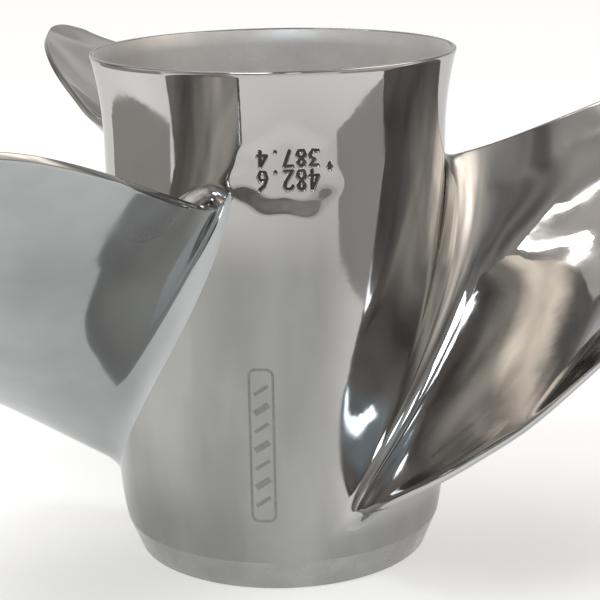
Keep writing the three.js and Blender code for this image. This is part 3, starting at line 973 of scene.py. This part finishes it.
# Blasted casting inside the barrel: dull grey-brown, lumpy and finely pitted.
CAST = noisy_surface(
    "blasted_stainless", (30, 5), ((0.56, 0.545, 0.53), (0.68, 0.67, 0.655)),
    (90, 4), (0.42, 0.56), [((120, 2), 0.25 * MM), ((1400, 3), 0.06 * MM)], metallic=0.55,
)
RUBBER = noisy_surface(
    "moulded_rubber", (80, 4), ((0.012, 0.012, 0.012), (0.03, 0.029, 0.028)),
    (200, 3), (0.55, 0.75), [((1800, 3), 0.05 * MM)], metallic=0.0,
)
ETCHED = noisy_surface(
    "etched_stainless", (400, 3), ((0.235, 0.235, 0.227), (0.275, 0.275, 0.267)),
    (900, 2), (0.38, 0.5), [((5000, 2), 0.004 * MM)],
)
TURNED = turned_metal("machined_stainless", (0.52, 0.52, 0.52), (0.62, 0.62, 0.61), 0.2, 0.34)
BRONZE = turned_metal("machined_bronze", (0.5, 0.33, 0.14), (0.62, 0.43, 0.2), 0.22, 0.38)
BAND = turned_metal("machined_band", (0.33, 0.33, 0.32), (0.39, 0.39, 0.38), 0.2, 0.32)
# Near-black painted shade in the deep stamped grooves.
STAMPED_PAINTED_SHADE = turned_metal("stamped_grooves_painted_shade", (0.05, 0.048, 0.045), (0.11, 0.105, 0.1), 0.4, 0.6)

# ---- build the casting ----
finish_piece(make_barrel(), "propeller", "cast_stainless", None, "outer_barrel")
finish_piece(make_mark(), "propeller", "cast_stainless", ETCHED)
for blade_name, blade_turn in BLADE_TURNS.items():
    visual = make_blade("polished_" + blade_name, blade_turn)
    finish_piece(visual, "propeller", "cast_stainless", None, blade_name)
finish_piece(make_inner_hub(), "propeller", "inner_casting", CAST, "inner_hub")
for rib in range(3):
    finish_piece(make_rib(rib), "propeller", "inner_casting", CAST, f"exhaust_rib_{rib + 1}")
for make_piece, piece_body, piece_slot, piece_surface, node_name in (
    (make_bushing_shell, "propeller", "turned_steel", TURNED, "bushing_shell"),
    (make_rubber, "propeller", "rubber", RUBBER, "rubber_bushing"),
    (make_drive_sleeve, "sleeve", "bronze", BRONZE, "drive_sleeve"),
    (make_thrust_washer, "sleeve", "bronze", BRONZE, "thrust_washer"),
    (make_rear_spacer, "sleeve", "bronze", BRONZE, "rear_spacer"),
    (make_shaft_washer, "washer", "turned_steel", TURNED, "shaft_washer"),
    (make_nut, "nut", "turned_steel", TURNED, "prop_nut"),
    (make_pin, "pin", "turned_steel", TURNED, "cotter_pin"),
):
    finish_piece(make_piece(), piece_body, piece_slot, piece_surface, node_name)


# ---- camera ----
CAMERA_PLACE = (0, -601.4 * MM, 252.6 * MM)
CAMERA_PITCH = math.radians(15.18)
CAMERA_YAW = math.radians(0.744)
CAMERA_ROLL = math.radians(-1.093)
CAMERA_LENS = 102.65


def make_camera():
    """A long lens on the -Y side, looking slightly down at the propeller."""
    camera_data = bpy.data.cameras.new("camera")
    camera_data.lens = CAMERA_LENS
    camera_data.sensor_width = 36
    camera_data.clip_start = 0.01
    camera_data.clip_end = 50
    camera = bpy.data.objects.new("camera", camera_data)
    bpy.context.scene.collection.objects.link(camera)
    forward = Vector((
        math.sin(CAMERA_YAW) * math.cos(CAMERA_PITCH),
        math.cos(CAMERA_YAW) * math.cos(CAMERA_PITCH),
        -math.sin(CAMERA_PITCH),
    ))
    level = Vector((math.cos(CAMERA_YAW), -math.sin(CAMERA_YAW), 0))
    upright = level.cross(forward)
    right = level * math.cos(CAMERA_ROLL) + upright * math.sin(CAMERA_ROLL)
    up = upright * math.cos(CAMERA_ROLL) - level * math.sin(CAMERA_ROLL)
    turn = Matrix((right, up, -forward)).transposed()
    camera.matrix_world = Matrix.Translation(CAMERA_PLACE) @ turn.to_4x4()
    bpy.context.scene.camera = camera


make_camera()


# ---- floor and light ----
CENTRE = (0, 0, HUB_LENGTH / 2)
LIGHT_DISTANCE = 1.6
FLOOR_RADIUS = 6.0
# Painted light: strength of the floor's glow from the front to the back, over this span of Y.
FLOOR_PAINTED_GLOW = (0.3, 0.63)
FLOOR_FADE = (-0.5, -0.02)
CARD_THICKNESS = 4 * MM
# The blades' soft painted shadows on the floor: where their patches lie, how far they reach and how dark they
# are.
PAINTED_SHADOW_AZIMUTHS = (-50, 70, 190)
PAINTED_SHADOW_OUT = 0.1
PAINTED_SHADOW_REACH = 0.125
PAINTED_SHADOW_DEPTH = 0.34


def make_floor():
    """A pale sweep glowing with painted light, a little greyer towards the front as painted shade, and with a
    soft painted shadow under each blade.
    """
    steps = 96
    ring = circle(FLOOR_RADIUS, 0, steps)
    faces = [(0, 1 + k, 1 + (k + 1) % steps) for k in range(steps)]
    floor = new_object("floor", [(0, 0, 0), *ring], faces)
    surface, tree, shader = new_material("floor_painted_light")
    shader.inputs["Base Color"].default_value = (0.6, 0.6, 0.6, 1)
    shader.inputs["Roughness"].default_value = 0.8
    shader.inputs["Emission Color"].default_value = (1, 0.995, 0.985, 1)
    place = tree.nodes.new("ShaderNodeTexCoord").outputs["Object"]
    split = tree.nodes.new("ShaderNodeSeparateXYZ")
    tree.links.new(place, split.inputs["Vector"])
    # Painted light: the floor's glow, dimmer towards the front as painted shade.
    glow = remap(tree, split.outputs["Y"], FLOOR_PAINTED_GLOW, FLOOR_FADE)
    # A painted shadow under each blade.
    for azimuth in PAINTED_SHADOW_AZIMUTHS:
        middle = cylindrical(PAINTED_SHADOW_OUT, math.radians(azimuth), 0)
        away = vector_measure(tree, "DISTANCE", place, middle)
        glow = multiply(tree, glow, remap(tree, away, (1 - PAINTED_SHADOW_DEPTH, 1), (0, PAINTED_SHADOW_REACH), "SMOOTHSTEP"))
    tree.links.new(glow, shader.inputs["Emission Strength"])
    add_surface(floor, surface)


def vector_measure(tree, operation, value, fixed):
    """The DISTANCE or DOT_PRODUCT between a vector and a fixed one."""
    node = tree.nodes.new("ShaderNodeVectorMath")
    node.operation = operation
    tree.links.new(value, node.inputs[0])
    node.inputs[1].default_value = fixed
    return node.outputs["Value"]


def multiply(tree, first, second):
    node = tree.nodes.new("ShaderNodeMath")
    node.operation = "MULTIPLY"
    tree.links.new(first, node.inputs[0])
    tree.links.new(second, node.inputs[1])
    return node.outputs["Value"]


def towards(azimuth, elevation, distance=1.0):
    """The vector of that length in a direction; azimuth 0 is -Y and 90 is +X, in degrees."""
    level = distance * math.cos(math.radians(elevation))
    x, y, _ = cylindrical(level, math.radians(azimuth), 0)
    return (x, y, distance * math.sin(math.radians(elevation)))


def area_light(name, azimuth, elevation, width, height, radiance, colour, along=None):
    """A soft box that faces the object, of the given radiance. Its width runs level, or towards `along`."""
    light = bpy.data.lights.new(name, "AREA")
    light.shape = "RECTANGLE"
    light.size = width
    light.size_y = height
    light.energy = radiance * math.pi * width * height
    light.color = colour
    obj = bpy.data.objects.new(name, light)
    bpy.context.scene.collection.objects.link(obj)
    obj.location = Vector(towards(azimuth, elevation, LIGHT_DISTANCE)) + Vector(CENTRE)
    backward = Vector(towards(azimuth, elevation))
    if along:
        run = Vector(towards(*along)) - backward
    else:
        run = Vector((0, 0, 1)).cross(backward)
    run = (run - backward * run.dot(backward)).normalized()
    turn = Matrix((run, backward.cross(run), backward)).transposed()
    obj.rotation_euler = turn.to_euler()
    return obj


def glow_patch(tree, direction, azimuth, elevation, inner, outer):
    """1 within `inner` degrees of a direction, fading to 0 at `outer` degrees."""
    dot = vector_measure(tree, "DOT_PRODUCT", direction, towards(azimuth, elevation))
    reach = (math.cos(math.radians(outer)), math.cos(math.radians(inner)))
    return remap(tree, dot, (0, 1), reach, "SMOOTHSTEP")


def make_world():
    """A dim warm room with broad soft glows: a pale wall behind, warm ones to the right and upper left."""
    world = bpy.data.worlds.new("studio")
    world.use_nodes = True
    tree = world.node_tree
    direction = tree.nodes.new("ShaderNodeTexCoord").outputs["Generated"]
    clouds = tree.nodes.new("ShaderNodeTexNoise")
    clouds.inputs["Scale"].default_value = 2.6
    clouds.inputs["Detail"].default_value = 2.5
    tree.links.new(direction, clouds.inputs["Vector"])
    colour = tint(tree, clouds.outputs["Fac"], *ROOM)
    shading = remap(tree, clouds.outputs["Fac"], (0.65, 1.25))
    for azimuth, elevation, inner, outer, glow in GLOWS:
        patch = glow_patch(tree, direction, azimuth, elevation, inner, outer)
        scaled = tree.nodes.new("ShaderNodeVectorMath")
        scaled.operation = "SCALE"
        scaled.inputs[0].default_value = glow
        tree.links.new(multiply(tree, patch, shading), scaled.inputs["Scale"])
        total = tree.nodes.new("ShaderNodeVectorMath")
        tree.links.new(colour, total.inputs[0])
        tree.links.new(scaled.outputs["Vector"], total.inputs[1])
        colour = total.outputs["Vector"]
    tree.links.new(colour, tree.nodes["Background"].inputs["Color"])
    bpy.context.scene.world = world


def make_card(name, start, end, height):
    """A low upright grey card between two (x, y) places, which only reflections see."""
    run = (Vector(end) - Vector(start)).normalized()
    aside = (-run.y * CARD_THICKNESS, run.x * CARD_THICKNESS)
    back = [(x + aside[0], y + aside[1]) for x, y in (end, start)]
    card = prism(name, [start, end, *back], 0, height)
    surface, _, shader = new_material("grey_card")
    shader.inputs["Base Color"].default_value = (0.42, 0.413, 0.4, 1)
    shader.inputs["Roughness"].default_value = 0.8
    add_surface(card, surface)
    card.visible_camera = False
    card.visible_diffuse = False
    card.visible_shadow = False


# The room's darkest and lightest tone, and its glows: azimuth, elevation, the angles from there at which
# the glow starts to fade and is gone, and colour. The colour below zero makes a darker patch.
ROOM = ((0.16, 0.153, 0.146), (0.38, 0.367, 0.352))
GLOWS = [
    (96, 46, 4, 24, (1.6, 1.42, 1.24)),
    (80, 38, 14, 42, (0.5, 0.46, 0.41)),
    (-116, 62, 6, 24, (0.28, 0.26, 0.24)),
    (-84, 22, 8, 32, (0.5, 0.47, 0.44)),
    (180, 14, 20, 60, (0.42, 0.43, 0.44)),
    (-79, 84, 2, 7, (-0.1, -0.096, -0.092)),
    (-12, 38, 3, 14, (0.14, 0.24, 0.32)),
]

make_floor()
make_world()
# Cards run between two places on the floor and have a height. Lights have azimuth and elevation, width and
# height, radiance and colour.
make_card("card_right", (0.34, -0.42), (0.38, -0.06), 0.12)
make_card("card_left", (-0.56, 0.5), (-0.49, -0.19), 0.17)
area_light("tube_left", -126, 68.7, 0.55, 0.045, 9, (1, 1, 0.99), along=(-131.4, 59.3))
area_light("lamp_front", -20, 58, 0.5, 0.4, 7, (0.84, 0.92, 1))
area_light("lamp_middle", -9, 42, 0.3, 0.08, 7, (0.8, 0.9, 1))
area_light("lamp_low", 12, 24, 0.22, 0.15, 8, (0.84, 0.92, 1))
fill = area_light("fill", -48, 46, 0.9, 0.9, 3, (1, 0.99, 0.97))
fill.visible_glossy = False
bpy.context.scene.view_settings.view_transform = "Standard"
